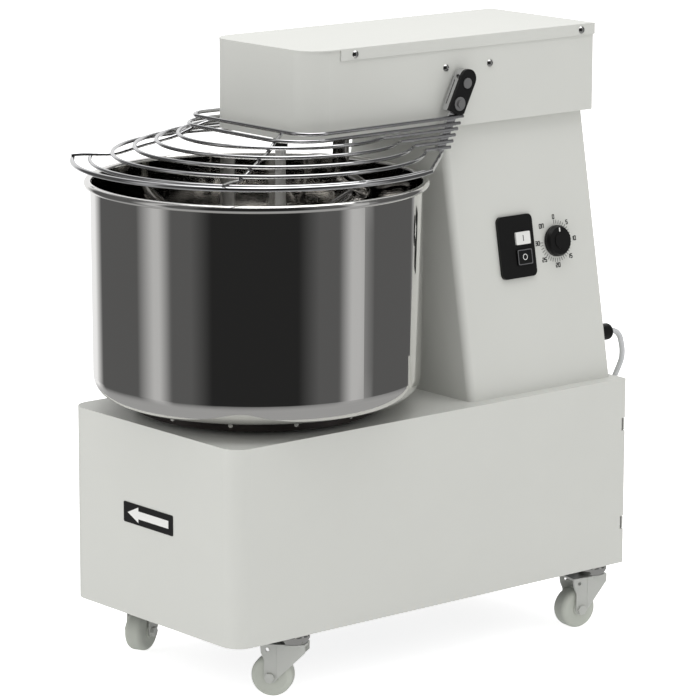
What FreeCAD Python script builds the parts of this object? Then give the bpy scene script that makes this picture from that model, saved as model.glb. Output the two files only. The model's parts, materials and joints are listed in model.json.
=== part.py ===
import FreeCAD, Part
import Sketcher
import math
import os
import re
from FreeCAD import Placement, Rotation, Vector

# Spiral dough mixer on casters.  Millimetres, +Z up.
# X is the operator's right (controls side), Y points to the rear, the bowl is at -Y.
# The origin is the centre of the floor plate's underside, in the bottom of the base.

DIMENSIONS = [
    # base cabinet
    ("base_width", 320), ("base_depth", 624), ("base_height", 238), ("base_corner", 24),
    ("sheet", 2), ("rail_width", 36.6), ("rail_height", 30), ("rail_wall", 3), ("deck_thick", 6),
    ("floor_plate_depth", 300),
    # column
    ("column_front", 69), ("column_rear", 300), ("column_foot", 142), ("column_top", 83),
    ("column_bend", 9), ("channel_half", 80), ("channel_wall", 4),
    # head
    ("head_half", 94), ("head_front", -148), ("head_rear", 309), ("head_bottom", 570),
    ("head_top", 678), ("head_corner", 31), ("lid_flange", 14), ("lid_flange_front", -100),
    ("lid_thick", 1.6), ("head_plate_thick", 8),
    # shaft places, all on the middle plane
    ("bowl_y", -150), ("spiral_y", -20), ("bar_y", -114), ("idler_y", 0), ("layshaft_y", 145),
    ("motor_y", 236),
    # levels of the chains and the belt
    ("chain_low", 95), ("chain_mid", 140), ("belt_level", 460), ("chain_top", 640),
    # bowl
    ("bowl_radius", 198.5), ("bowl_foot_radius", 197), ("bowl_wall", 1.5), ("bowl_bottom", 257.5),
    ("bowl_bead_level", 515), ("bowl_bead", 4.5), ("bowl_knuckle", 27),
    ("turntable_radius", 148), ("turntable_bottom", 244),
    # kneading tools
    ("rod_radius", 10), ("helix_radius", 48), ("helix_top", 514), ("helix_bottom", 281),
    ("bar_radius", 6.5), ("bar_bottom", 276),
    # drive
    ("chain_pitch", 12.7), ("sprocket_thick", 5.3), ("roller_radius", 4), ("plate_reach", 5.5),
    ("small_teeth", 11), ("large_teeth", 40), ("top_small_teeth", 12), ("top_large_teeth", 36),
    ("heavy_shaft", 15), ("light_shaft", 12.5), ("running_gap", 0.05),
    ("pulley_large", 62), ("pulley_small", 25), ("motor_radius", 59), ("motor_shaft", 9.5),
    # guard
    ("pivot_y", 84), ("pivot_level", 624), ("pivot_radius", 6), ("wire_x", 110),
    ("wire_radius", 2.3), ("frame_wire_radius", 2.9), ("arm_width", 12), ("arm_lean", 26.57),
    # controls on the right side of the column
    ("switch_y", 167), ("switch_level", 414.6), ("switch_width", 57), ("switch_tall", 77),
    ("button_y", 176.3), ("start_level", 424), ("stop_level", 401), ("button_play", 0.3),
    ("knob_y", 234.6), ("knob_level", 414.2), ("knob_radius", 19.4),
    ("gland_x", 119.5), ("gland_level", 290.5),
    # casters
    ("caster_x", 139.5), ("caster_front", -208), ("caster_rear", 277), ("floor_level", -78),
    ("wheel_radius", 25), ("wheel_width", 24), ("trail", 25), ("axle_radius", 4),
]

doc = FreeCAD.newDocument("spiral_dough_mixer")
sheet_table = doc.addObject("Spreadsheet::Sheet", "dims")
for row, (alias, number) in enumerate(DIMENSIONS, start=1):
    sheet_table.set("A%d" % row, alias)
    sheet_table.set("B%d" % row, str(number))
    sheet_table.setAlias("B%d" % row, alias)
doc.recompute()

ALIASES = re.compile(r"\b(%s)\b" % "|".join(alias for alias, _ in DIMENSIONS))
Z_AXIS = Vector(0, 0, 1)
ALONG_X = Rotation(Vector(0, 1, 0), 90)
ALONG_Y = Rotation(Vector(1, 0, 0), -90)
nodes = []


def dim(alias):
    """The number in the sheet's cell with this alias."""
    return float(sheet_table.get(alias))


def bind(obj, path, expression):
    """Bind a property to an expression of sheet aliases."""
    obj.setExpression(path, ALIASES.sub(r"dims.\1", str(expression)))


def place(obj, x=0, y=0, z=0, rotation=None):
    """Put an object at three expressions, with an optional rotation."""
    obj.Placement = Placement(Vector(0, 0, 0), rotation or Rotation())
    bind(obj, "Placement.Base.x", x)
    bind(obj, "Placement.Base.y", y)
    bind(obj, "Placement.Base.z", z)
    return obj


def keep(obj, label):
    """Name a finished sub-part; its label is its node and its file."""
    obj.Label = label
    nodes.append(obj)
    return obj


def box(x, y, z):
    """A box between the low and high expressions of each axis."""
    obj = doc.addObject("Part::Box", "box")
    for prop, (low, high) in zip(("Length", "Width", "Height"), (x, y, z)):
        bind(obj, prop, "(%s) - (%s)" % (high, low))
    return place(obj, x[0], y[0], z[0])


def side_box(x, y, z, side):
    """A box on the right (side 1) or mirrored to the left (side -1)."""
    if side > 0:
        return box(x, y, z)
    return box(("-(%s)" % x[1], "-(%s)" % x[0]), y, z)


def cylinder(radius, x, y, z):
    """An upright cylinder at x, y between the two expressions in z."""
    obj = doc.addObject("Part::Cylinder", "cylinder")
    bind(obj, "Radius", radius)
    bind(obj, "Height", "(%s) - (%s)" % (z[1], z[0]))
    return place(obj, x, y, z[0])


def cylinder_x(radius, x, y, z):
    """A cylinder along X between the two expressions in x."""
    obj = doc.addObject("Part::Cylinder", "cylinder")
    bind(obj, "Radius", radius)
    bind(obj, "Height", "(%s) - (%s)" % (x[1], x[0]))
    return place(obj, x[0], y, z, ALONG_X)


def cylinder_y(radius, x, y, z):
    """A cylinder along Y between the two expressions in y."""
    obj = doc.addObject("Part::Cylinder", "cylinder")
    bind(obj, "Radius", radius)
    bind(obj, "Height", "(%s) - (%s)" % (y[1], y[0]))
    return place(obj, x, y[0], z, ALONG_Y)


def cone(radius_low, radius_high, x, y, z):
    obj = doc.addObject("Part::Cone", "cone")
    bind(obj, "Radius1", radius_low)
    bind(obj, "Radius2", radius_high)
    bind(obj, "Height", "(%s) - (%s)" % (z[1], z[0]))
    return place(obj, x, y, z[0])


def fuse(*shapes):
    obj = doc.addObject("Part::MultiFuse", "fuse")
    obj.Shapes = list(shapes)
    obj.Refine = True
    return obj


def cut(base, *tools):
    obj = doc.addObject("Part::Cut", "cut")
    obj.Base = base
    obj.Tool = tools[0] if len(tools) == 1 else fuse(*tools)
    obj.Refine = True
    return obj


def group(*members):
    """Separate solids that share one node."""
    obj = doc.addObject("Part::Compound", "group")
    obj.Links = list(members)
    return obj


def round_edges(base, radius, wanted):
    """Fillet the edges of a finished object that the test accepts."""
    doc.recompute()
    chosen = [i for i, edge in enumerate(base.Shape.Edges, start=1) if wanted(edge)]
    obj = doc.addObject("Part::Fillet", "fillet")
    obj.Base = base
    obj.Edges = [(i, radius, radius) for i in chosen]
    return obj


def upright(edge):
    """A straight vertical edge."""
    if edge.Curve.TypeId != "Part::GeomLine":
        return False
    return abs(edge.Curve.Direction.z) > 0.999


def at_front(limit):
    """An upright edge in front of the limit in Y."""
    return lambda edge: upright(edge) and edge.CenterOfMass.y < limit


def solid(shape, label=None):
    """A Part::Feature for a swept shape that the primitives can't make."""
    obj = doc.addObject("Part::Feature", "swept")
    obj.Shape = shape
    if label:
        keep(obj, label)
    return obj


def polygon_sketch(body, points, name="outline"):
    """A closed polygon in the body's XY plane, each corner bound to the sheet."""
    plane = [f for f in body.Origin.OriginFeatures if f.Role == "XY_Plane"][0]
    sketch = body.newObject("Sketcher::SketchObject", name)
    sketch.AttachmentSupport = (plane, [""])
    sketch.MapMode = "FlatFace"
    numbers = [(evaluate(px), evaluate(py)) for px, py in points]
    count = len(points)
    for i in range(count):
        start = Vector(*numbers[i], 0)
        end = Vector(*numbers[(i + 1) % count], 0)
        sketch.addGeometry(Part.LineSegment(start, end), False)
    for i in range(count):
        sketch.addConstraint(Sketcher.Constraint("Coincident", i, 2, (i + 1) % count, 1))
    for i, (px, py) in enumerate(points):
        for kind, number, expression in (("DistanceX", numbers[i][0], px),
                                         ("DistanceY", numbers[i][1], py)):
            index = sketch.addConstraint(Sketcher.Constraint(kind, -1, 1, i, 1, number))
            bind(sketch, "Constraints[%d]" % index, expression)
    return sketch


def evaluate(expression):
    """The value of an expression of sheet aliases, for a first drawing."""
    return float(sheet_table.evalExpression(ALIASES.sub(r"dims.\1", str(expression))))


def prism(points, length, corner=None, rounded=None):
    """A PartDesign body: a polygon pad, with its upright corners rounded."""
    body = doc.addObject("PartDesign::Body", "body")
    sketch = polygon_sketch(body, points)
    pad = body.newObject("PartDesign::Pad", "pad")
    pad.Profile = sketch
    bind(pad, "Length", length)
    body.Tip = pad
    if corner:
        doc.recompute()
        wanted = rounded or (lambda edge: True)
        chosen = ["Edge%d" % i for i, edge in enumerate(pad.Shape.Edges, start=1)
                  if upright(edge) and wanted(edge)]
        fillet = body.newObject("PartDesign::Fillet", "corners")
        fillet.Base = (pad, chosen)
        bind(fillet, "Radius", corner)
        body.Tip = fillet
    return body


def rectangle(width, height):
    """The corners of a rectangle centred on the origin, as expressions."""
    w = "(%s)/2" % width
    h = "(%s)/2" % height
    return [("-" + w, "-" + h), (w, "-" + h), (w, h), ("-" + w, h)]


# ---------------------------------------------------------------- base cabinet

def base_casing():
    """Bent sheet cabinet: front, two sides and top, open below and behind."""
    outer = box(("-base_width/2", "base_width/2"), ("-base_depth/2", "base_depth/2"), (0, "base_height"))
    outer = round_edges(outer, dim("base_corner"), at_front(0))
    inner = box(("-base_width/2 + sheet", "base_width/2 - sheet"),
                ("-base_depth/2 + sheet", "base_depth/2 + 5"), (-5, "base_height - sheet"))
    inner = round_edges(inner, dim("base_corner") - dim("sheet"), at_front(0))
    hub_hole = cylinder(46, 0, "bowl_y", ("base_height - 4", "base_height + 2"))
    drive_hole = box((-110, 110), ("column_front + 5", "column_rear - 4"),
                     ("base_height - 4", "base_height + 2"))
    slots = [side_box(("base_width/2 - 4", "base_width/2 + 2"), ("base_depth/2 - 5.5", "base_depth/2 + 2"),
                      (low, low + 16.5), side) for low in (44, 171) for side in (1, -1)]
    keep(cut(outer, inner, hub_hole, drive_hole, *slots), "base_casing")


def base_frame():
    """Welded frame of U channel with posts that carry the deck."""
    low_y = "-base_depth/2 + 26"
    high_y = "base_depth/2 - 2.5"
    half = "base_width/2 - 2.2"
    outer = box(("-(%s)" % half, half), (low_y, high_y), (0, "rail_height"))
    opening = box(("-(%s) + rail_width" % half, "%s - rail_width" % half),
                  ("%s + rail_width" % low_y, "%s - rail_width" % high_y), (-1, "rail_height + 1"))
    trench_outer = box(("-(%s) + rail_wall" % half, "%s - rail_wall" % half),
                       ("%s + rail_wall" % low_y, "%s - rail_wall" % high_y),
                       ("rail_wall", "rail_height + 1"))
    trench_inner = box(("-(%s) + rail_width - rail_wall" % half, "%s - rail_width + rail_wall" % half),
                       ("%s + rail_width - rail_wall" % low_y, "%s - rail_width + rail_wall" % high_y),
                       (0, "rail_height + 2"))
    ring = cut(outer, opening, cut(trench_outer, trench_inner))
    beams = [box(("-(%s) + rail_width - 1" % half, "%s - rail_width + 1" % half),
                 ("%s*(floor_plate_depth/2 + 10) - 10" % side, "%s*(floor_plate_depth/2 + 10) + 10" % side),
                 (0, "rail_height")) for side in (1, -1)]
    posts = [side_box(("base_width/2 - 24", "base_width/2 - 6"), (y, "%s + 18" % y),
                      ("rail_wall - 0.5", "base_height - sheet - deck_thick"), side)
             for y in ("-base_depth/2 + 30", "40", "base_depth/2 - 24") for side in (1, -1)]
    bolt_holes = [cylinder(5.3, "%d*caster_x" % side, y, (-1, 6))
                  for side in (1, -1) for y in ("caster_front", "caster_rear")]
    keep(cut(fuse(ring, *beams, *posts), *bolt_holes), "base_frame")


def floor_plate():
    """Flat plate in the bottom; its underside is the resting face."""
    half = "base_width/2 - 2.2 - rail_width"
    keep(box(("-(%s)" % half, half), ("-floor_plate_depth/2", "floor_plate_depth/2"), (0, 3)), "floor_plate")


def drive_deck():
    """Steel plate under the cabinet top; the lower shafts hang from it."""
    top = "base_height - sheet"
    plate = box(("-base_width/2 + 2.5", "base_width/2 - 2.5"),
                ("-base_depth/2 + 26", "base_depth/2 - 5"), ("%s - deck_thick" % top, top))
    bowl_hole = cylinder(40.2, 0, "bowl_y", (200, 260))
    shaft_hole = cylinder(31.2, 0, "layshaft_y", (200, 260))
    keep(cut(plate, bowl_hole, shaft_hole), "drive_deck")


def base_rear_panel():
    """Rear cover with tabs that hook into the cabinet's slots."""
    plate = box(("-base_width/2 + 2.4", "base_width/2 - 2.4"),
                ("base_depth/2 - sheet", "base_depth/2"), (2, "base_height - 2.4"))
    tabs = [side_box(("base_width/2 - 5", "base_width/2 - 0.6"), ("base_depth/2 - sheet", "base_depth/2"),
                     (low + 1, low + 15.5), side) for low in (44, 171) for side in (1, -1)]
    vents = [box((-60, 60), ("base_depth/2 - 4", "base_depth/2 + 2"), (z, z + 5))
             for z in (60, 75, 90, 105, 120)]
    keep(cut(fuse(plate, *tabs), *vents), "base_rear_panel")


# ---------------------------------------------------------------- column

def column_outline(inset, low=0, high=0):
    """The column's front view, drawn from the cabinet top to the head."""
    slope = "(column_foot - column_top)/(head_bottom - base_height)"
    foot = "column_foot - %s + %s*(%s)" % (inset, slope, low)
    top = "column_top - %s - %s*(%s)" % (inset, slope, high)
    bottom_z = "base_height - (%s)" % low
    top_z = "head_bottom + (%s)" % high
    return [("-(%s)" % foot, bottom_z), (foot, bottom_z), (top, top_z), ("-(%s)" % top, top_z)]


def front_view(points, front, rear, corner=None, rounded=None):
    """A front-view outline extruded from the rear to the front."""
    body = prism(points, "(%s) - (%s)" % (rear, front), corner, rounded)
    return place(body, 0, rear, 0, Rotation(Vector(1, 0, 0), 90))


def side_placement(y, level, lift):
    """A place on the column's right side face: local x to the rear, y up, z outward."""
    slope = (dim("column_foot") - dim("column_top")) / (dim("head_bottom") - dim("base_height"))
    lean = math.atan(slope)
    outward = Vector(math.cos(lean), 0, math.sin(lean))
    upward = Vector(-math.sin(lean), 0, math.cos(lean))
    face_x = dim("column_foot") - slope * (dim(level) - dim("base_height"))
    point = Vector(face_x, dim(y), dim(level)) + outward * lift
    return Placement(point, Rotation(Vector(0, 1, 0), upward, outward, "ZXY"))


def sloping_front(edge):
    """Edges that climb the column's front corners."""
    ends = [v.Point for v in edge.Vertexes]
    if len(ends) < 2 or abs(ends[0].z - ends[1].z) < 100:
        return False
    return max(p.y for p in ends) < dim("column_front") + 5


def column_casing():
    """Bent sheet column: front and two leaning sides, with openings for the controls."""
    rear = "column_rear - sheet"
    outer = front_view(column_outline("0"), "column_front", rear)
    outer = round_edges(outer, dim("column_bend"), sloping_front)
    inner = front_view(column_outline("sheet", 2, 2), "column_front + sheet", "column_rear + 5")
    inner = round_edges(inner, dim("column_bend") - dim("sheet"), sloping_front)
    window = prism(rectangle(52, 62), 20)
    window.Placement = side_placement("switch_y", "switch_level", -10)
    spindle = doc.addObject("Part::Cylinder", "spindle_hole")
    bind(spindle, "Radius", 5)
    bind(spindle, "Height", 20)
    spindle.Placement = side_placement("knob_y", "knob_level", -10)
    keep(cut(outer, inner, window, spindle), "column_casing")


def column_rear_cover():
    """Flat rear cover of the column, with the cable gland's hole."""
    plate = front_view(column_outline("0.3", -0.3, -0.3), "column_rear - sheet", "column_rear")
    gland_hole = cylinder_y(8.2, "gland_x", ("column_rear - 5", "column_rear + 5"), "gland_level")
    keep(cut(plate, gland_hole), "column_rear_cover")


def column_channel():
    """Folded steel channel inside the column that carries the head."""
    outer = box(("-channel_half", "channel_half"), ("column_front + 6", "column_rear - 5"),
                ("base_height - sheet", "head_bottom"))
    inner = box(("-channel_half + channel_wall", "channel_half - channel_wall"),
                ("column_front + 6 + channel_wall", "column_rear"), ("base_height - 5", "head_bottom + 5"))
    windows = [box((-100, 100), (110, 260), (z, z + 70)) for z in (260, 480)]
    keep(cut(outer, inner, *windows), "column_channel")


def motor_plate():
    """Shelf across the channel that the motor hangs from."""
    plate = box(("-channel_half + channel_wall + 0.1", "channel_half - channel_wall - 0.1"),
                ("column_front + 6.1 + channel_wall", "column_rear - 7"), (430, 436))
    holes = [cylinder(30, 0, y, (425, 440)) for y in ("layshaft_y", "motor_y")]
    keep(cut(plate, *holes), "motor_plate")


# ---------------------------------------------------------------- head

def head_casing():
    """Sheet box of the head, open on top, with rounded front corners."""
    top = "head_top - lid_thick"
    outer = box(("-head_half", "head_half"), ("head_front", "head_rear"), ("head_bottom", top))
    outer = round_edges(outer, dim("head_corner"), at_front(0))
    inner = box(("-head_half + sheet", "head_half - sheet"), ("head_front + sheet", "head_rear - sheet"),
                ("head_bottom + sheet", "head_top + 5"))
    inner = round_edges(inner, dim("head_corner") - dim("sheet"), at_front(0))
    floor = ("head_bottom - 5", "head_bottom + 5")
    holes = [
        cylinder(18, 0, "spiral_y", floor),
        cylinder("bar_radius + 0.5", 0, "bar_y", floor),
        cylinder(33, 0, "layshaft_y", floor),
        cylinder_x("pivot_radius + running_gap", ("-head_half - 5", "head_half + 5"),
                   "pivot_y", "pivot_level"),
    ]
    keep(cut(outer, inner, *holes), "head_casing")


def head_lid():
    """Top cover with flanges down both sides and the rear."""
    reach = "head_half + lid_thick"
    top = box(("-(%s)" % reach, reach), ("head_front", "head_rear + lid_thick"),
              ("head_top - lid_thick", "head_top"))
    top = round_edges(top, dim("head_corner") + dim("lid_thick"), at_front(0))
    skirt = box(("-(%s)" % reach, reach), ("lid_flange_front", "head_rear + lid_thick"),
                ("head_top - lid_flange", "head_top - lid_thick/2"))
    room = box(("-head_half - 0.05", "head_half + 0.05"), ("lid_flange_front - 5", "head_rear + 0.05"),
               ("head_top - lid_flange - 5", "head_top - lid_thick"))
    keep(fuse(top, cut(skirt, room)), "head_lid")


def head_plate():
    """Thick plate on the head's floor that carries the spiral and the bar."""
    floor = "head_bottom + sheet"
    plate = box((-80, 80), ("head_front + 12", "head_rear - 14"), (floor, "%s + head_plate_thick" % floor))
    span = ("head_bottom", "head_bottom + 20")
    holes = [
        cylinder(40.2, 0, "spiral_y", span),
        cylinder("bar_radius", 0, "bar_y", span),
        cylinder(31.2, 0, "layshaft_y", span),
    ]
    keep(cut(plate, *holes), "head_plate")


def dome_screw(x, y, z, side):
    """The domed head of a screw on a side sheet."""
    head = doc.addObject("Part::Sphere", "dome")
    bind(head, "Radius", 5.4)
    place(head, "%d*((%s) - 2.4)" % (side, x), y, z)
    trim = side_box((x, "%s + 5" % x), ("%s - 8" % y, "%s + 8" % y), ("%s - 8" % z, "%s + 8" % z), side)
    both = doc.addObject("Part::Common", "dome_head")
    both.Base = head
    both.Tool = trim
    return both


def casing_screws():
    """Domed screws of the lid, the head and the rear covers."""
    screws = []
    for side in (1, -1):
        for y in (-78, 288):
            screws.append(dome_screw("head_half + lid_thick", y, "head_top - 7.5", side))
        for y in (66, 137):
            screws.append(dome_screw("head_half", y, "head_bottom + 72", side))
        for z in (250, 400, 545):
            x = "%d*(column_foot - 12 - (%d - base_height)*0.178)" % (side, z)
            screws.append(cylinder_y(4, x, ("column_rear", "column_rear + 2"), z))
        for z in (20, 218):
            x = "%d*(base_width/2 - 15)" % side
            screws.append(cylinder_y(4, x, ("base_depth/2", "base_depth/2 + 2"), z))
    keep(group(*screws), "casing_screws")


# ---------------------------------------------------------------- drive

def bearing_housing(radius, flange, flange_z, body_z, seat_radius, seat_width, bore, y):
    """A turned housing with a flange and a bearing seat at each end."""
    body = fuse(cylinder(radius, 0, y, body_z), cylinder(flange, 0, y, flange_z))
    low = (body_z[0], "%s + %s" % (body_z[0], seat_width))
    high = ("%s - %s" % (body_z[1], seat_width), body_z[1])
    tools = [cylinder(bore, 0, y, ("%s - 1" % body_z[0], "%s + 1" % body_z[1]))]
    rings = []
    for start, end in (low, high):
        tools.append(cylinder(seat_radius, 0, y, (start, end)))
        rings.append((seat_radius, y, (start, end)))
    return cut(body, *tools), rings


def bearing(seat_radius, shaft, y, span):
    """A ball bearing as one ring with running clearance on its shaft."""
    ring = cylinder(seat_radius, 0, y, span)
    return cut(ring, cylinder("%s + running_gap" % shaft, 0, y, ("%s - 1" % span[0], "%s + 1" % span[1])))


def housings_and_bearings():
    """All bearing housings, and the bearings in one group."""
    deck = "base_height - sheet - deck_thick"
    bowl, bowl_rings = bearing_housing(40, 65, ("%s - 8" % deck, deck), (160, "base_height"),
                                       31, 16, 22, "bowl_y")
    floor = "head_bottom + sheet"
    top = "%s + head_plate_thick" % floor
    spiral, spiral_rings = bearing_housing(40, 60, (top, "%s + 10" % top), (floor, "%s + 58" % floor),
                                           31, 16, 22, "spiral_y")
    idler, idler_rings = bearing_housing(32, 50, ("%s - 8" % deck, deck), (160, deck),
                                         26, 15, 18, "idler_y")
    lower, lower_rings = bearing_housing(31, 50, ("base_height - sheet", "base_height + 6"),
                                         (182, "base_height + 6"), 26, 15, 18, "layshaft_y")
    upper, upper_rings = bearing_housing(31, 50, (top, "%s + 8" % top), ("head_bottom - 20", "%s + 8" % top),
                                         26, 15, 18, "layshaft_y")
    keep(bowl, "bowl_bearing_housing")
    keep(spiral, "spiral_bearing_housing")
    keep(group(idler, lower, upper), "shaft_housings")
    heavy = [bearing(r, "heavy_shaft", y, span) for r, y, span in bowl_rings + spiral_rings]
    light = [bearing(r, "light_shaft", y, span)
             for r, y, span in idler_rings + lower_rings + upper_rings]
    keep(group(*heavy, *light), "drive_bearings")


def pitch_radius(teeth):
    """Half the pitch diameter of a chain wheel."""
    return dim("chain_pitch") / (2 * math.sin(math.pi / dim(teeth)))


def sprocket(teeth, y, level, shaft, hub_radius, hub_half):
    """A chain wheel: a disc, one roller seat patterned round it, and a hub."""
    pitch = "chain_pitch/(2*sin(180deg/%s))" % teeth
    body = doc.addObject("PartDesign::Body", "sprocket")
    plane = [f for f in body.Origin.OriginFeatures if f.Role == "XY_Plane"][0]
    axis = [f for f in body.Origin.OriginFeatures if f.Role == "Z_Axis"][0]

    def circle_sketch(name, x, radius):
        sketch = body.newObject("Sketcher::SketchObject", name)
        sketch.AttachmentSupport = (plane, [""])
        sketch.MapMode = "FlatFace"
        sketch.addGeometry(Part.Circle(Vector(evaluate(x), 0, 0), Z_AXIS, evaluate(radius)), False)
        for kind, expression, args in (("DistanceX", x, (-1, 1, 0, 3)), ("DistanceY", "0", (-1, 1, 0, 3)),
                                       ("Radius", radius, (0,))):
            index = sketch.addConstraint(Sketcher.Constraint(kind, *args, evaluate(expression)))
            if kind != "DistanceY":
                bind(sketch, "Constraints[%d]" % index, expression)
        return sketch

    disc = body.newObject("PartDesign::Pad", "disc")
    disc.Profile = circle_sketch("rim", "0", "%s + roller_radius*0.6" % pitch)
    bind(disc, "Length", "sprocket_thick")
    disc.Midplane = True
    seat = body.newObject("PartDesign::Pocket", "seat")
    seat.Profile = circle_sketch("roller", pitch, "roller_radius")
    seat.Type = 1
    seat.Midplane = True
    doc.recompute()
    ring = body.newObject("PartDesign::PolarPattern", "seats")
    ring.Originals = [seat]
    ring.Axis = (axis, [""])
    ring.Angle = 360
    bind(ring, "Occurrences", teeth)
    body.Tip = ring
    place(body, 0, y, level)
    hub = cylinder(hub_radius, 0, y, ("%s - %s" % (level, hub_half), "%s + %s" % (level, hub_half)))
    bore = cylinder(shaft, 0, y, ("%s - 30" % level, "%s + 30" % level))
    return cut(fuse(body, hub), bore)


def hull_disc(y1, r1, y2, r2, thickness, level):
    """The flat shape a tight loop encloses round two round wheels."""
    gap = y2 - y1
    lean = math.asin((r1 - r2) / gap)
    reach = Vector(math.cos(lean), math.sin(lean), 0)
    corners = []
    for side in (1, -1):
        edge = [Vector(side * reach.x * r1, y1 + reach.y * r1, 0),
                Vector(side * reach.x * r2, y2 + reach.y * r2, 0)]
        corners += edge if side > 0 else edge[::-1]
    quad = Part.Face(Part.makePolygon(corners + corners[:1]))
    low = level - thickness / 2
    shape = quad.extrude(Vector(0, 0, thickness))
    shape.translate(Vector(0, 0, low))
    for y, r in ((y1, r1), (y2, r2)):
        shape = shape.fuse(Part.makeCylinder(r, thickness, Vector(0, y, low)))
    return shape.removeSplitter()


def loop_band(y1, r1, y2, r2, reach_in, reach_out, thickness, level):
    """A closed band round two wheels, between two offsets from their pitch circles."""
    outer = hull_disc(y1, r1 + reach_out, y2, r2 + reach_out, thickness, level)
    return outer.cut(hull_disc(y1, r1 - reach_in, y2, r2 - reach_in, thickness, level))


def chain(y1, teeth1, y2, teeth2, level):
    """A roller chain as two plate bands with pins on its straight runs."""
    r1, r2 = pitch_radius(teeth1), pitch_radius(teeth2)
    reach = dim("plate_reach")
    shape = None
    for offset in (4.2, -4.2):
        band = loop_band(y1, r1, y2, r2, reach, reach, 1.5, level + offset)
        shape = band if shape is None else shape.fuse(band)
    lean = math.asin((r1 - r2) / (y2 - y1))
    run = (y2 - y1) * math.cos(lean)
    first = math.sqrt(10 * r1 + 25) + 2
    last = run - math.sqrt(10 * r2 + 25) - 2
    pins = max(2, int((last - first) / dim("chain_pitch")) + 1)
    for side in (1, -1):
        start = Vector(side * r1 * math.cos(lean), y1 + r1 * math.sin(lean), 0)
        along = Vector(-side * math.sin(lean), math.cos(lean), 0)
        for i in range(pins):
            place_at = start + along * (first + (last - first) * i / (pins - 1))
            base = Vector(place_at.x, place_at.y, level - 4.9)
            shape = shape.fuse(Part.makeCylinder(1.8, 9.8, base))
    return solid(shape.removeSplitter())


def drive_chains():
    low = chain(dim("idler_y"), "large_teeth", dim("layshaft_y"), "small_teeth", dim("chain_low"))
    mid = chain(dim("bowl_y"), "large_teeth", dim("idler_y"), "small_teeth", dim("chain_mid"))
    top = chain(dim("spiral_y"), "top_large_teeth", dim("layshaft_y"), "top_small_teeth", dim("chain_top"))
    keep(group(low, mid, top), "drive_chains")


def pulley(radius, shaft, y, hub_half):
    """A grooved belt pulley."""
    level = "belt_level"
    rim = cylinder(radius, 0, y, ("%s - 9" % level, "%s + 9" % level))
    groove = cut(cylinder("%s + 5" % radius, 0, y, ("%s - 5.4" % level, "%s + 5.4" % level)),
                 cylinder("%s - 9.6" % radius, 0, y, ("%s - 6" % level, "%s + 6" % level)))
    hub = cylinder("%s + 5" % shaft, 0, y, ("%s - %s" % (level, hub_half), "%s + %s" % (level, hub_half)))
    bore = cylinder(shaft, 0, y, ("%s - 30" % level, "%s + 30" % level))
    return cut(fuse(cut(rim, groove), hub), bore)


def v_belt():
    y1, y2 = dim("layshaft_y"), dim("motor_y")
    band = loop_band(y1, dim("pulley_large") - 5, y2, dim("pulley_small") - 5, 4, 4, 9.6, dim("belt_level"))
    solid(band, "v_belt")


def layshaft_group():
    """Layshaft with its belt pulley and its two small sprockets."""
    keep(cylinder("light_shaft", 0, "layshaft_y", ("chain_low - 11", "chain_top + 12")), "layshaft")
    keep(pulley("pulley_large", "light_shaft", "layshaft_y", 14), "layshaft_pulley")
    low = sprocket("small_teeth", "layshaft_y", "chain_low", "light_shaft", 16, 9)
    top = sprocket("top_small_teeth", "layshaft_y", "chain_top", "light_shaft", 17, 9)
    keep(group(low, top), "layshaft_sprockets")


def idler_group():
    """Idler shaft between the two lower chains."""
    keep(cylinder("light_shaft", 0, "idler_y", ("chain_low - 11", 228)), "idler_shaft")
    large = sprocket("large_teeth", "idler_y", "chain_low", "light_shaft", 24, 9)
    small = sprocket("small_teeth", "idler_y", "chain_mid", "light_shaft", 16, 9)
    keep(group(large, small), "idler_sprockets")


def motor():
    """Vertical motor: housing, rotor with its fan, fan cowl and pulley."""
    top = 430
    shell = cylinder("motor_radius", 0, "motor_y", (300, top))
    fins = [cut(cylinder("motor_radius + 1", 0, "motor_y", (z, z + 5)),
                cylinder("motor_radius - 4", 0, "motor_y", (z - 1, z + 6))) for z in range(315, 415, 10)]
    room = cylinder(37, 0, "motor_y", (310, top - 10))
    hole = cylinder("motor_shaft + running_gap", 0, "motor_y", (290, top + 5))
    keep(cut(shell, room, hole, *fins), "motor_housing")
    shaft = fuse(cylinder("motor_shaft", 0, "motor_y", (272, "belt_level + 14")),
                 cylinder(35, 0, "motor_y", (325, 405)))
    disc = cylinder(20, 0, "motor_y", (278, 292))
    blades = []
    for i in range(6):
        blade = box((0, 48), (-1, 1), (278, 292))
        blade.Placement = Placement(Vector(0, dim("motor_y"), 278), Rotation(Z_AXIS, 60 * i))
        blades.append(blade)
        bind(blade, "Placement.Base.y", "motor_y")
    fan = cut(fuse(disc, *blades), cylinder("motor_shaft", 0, "motor_y", (270, 300)))
    keep(group(shaft, fan), "motor_rotor")
    cowl = cut(cylinder("motor_radius - 1", 0, "motor_y", (262, 300)),
               cylinder("motor_radius - 3", 0, "motor_y", (264, 301)),
               *[cylinder(6, 30 * math.cos(a), "motor_y + %f" % (30 * math.sin(a)), (260, 266))
                 for a in [math.radians(60 * i) for i in range(6)]])
    keep(cowl, "motor_fan_cowl")
    keep(pulley("pulley_small", "motor_shaft", "motor_y", 12), "motor_pulley")


# ---------------------------------------------------------------- bowl and tools

def bowl_solid(inset, floor, top):
    """The bowl's outline as a solid, drawn inside its outer surface."""
    body = cone("bowl_foot_radius - %s" % inset, "bowl_radius - %s" % inset, 0, "bowl_y", (floor, top))
    knuckle = dim("bowl_knuckle") - float(inset)
    return round_edges(body, knuckle, lambda edge: edge.CenterOfMass.z < dim("bowl_bottom") + 5
                       and edge.Curve.TypeId == "Part::GeomCircle")


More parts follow.
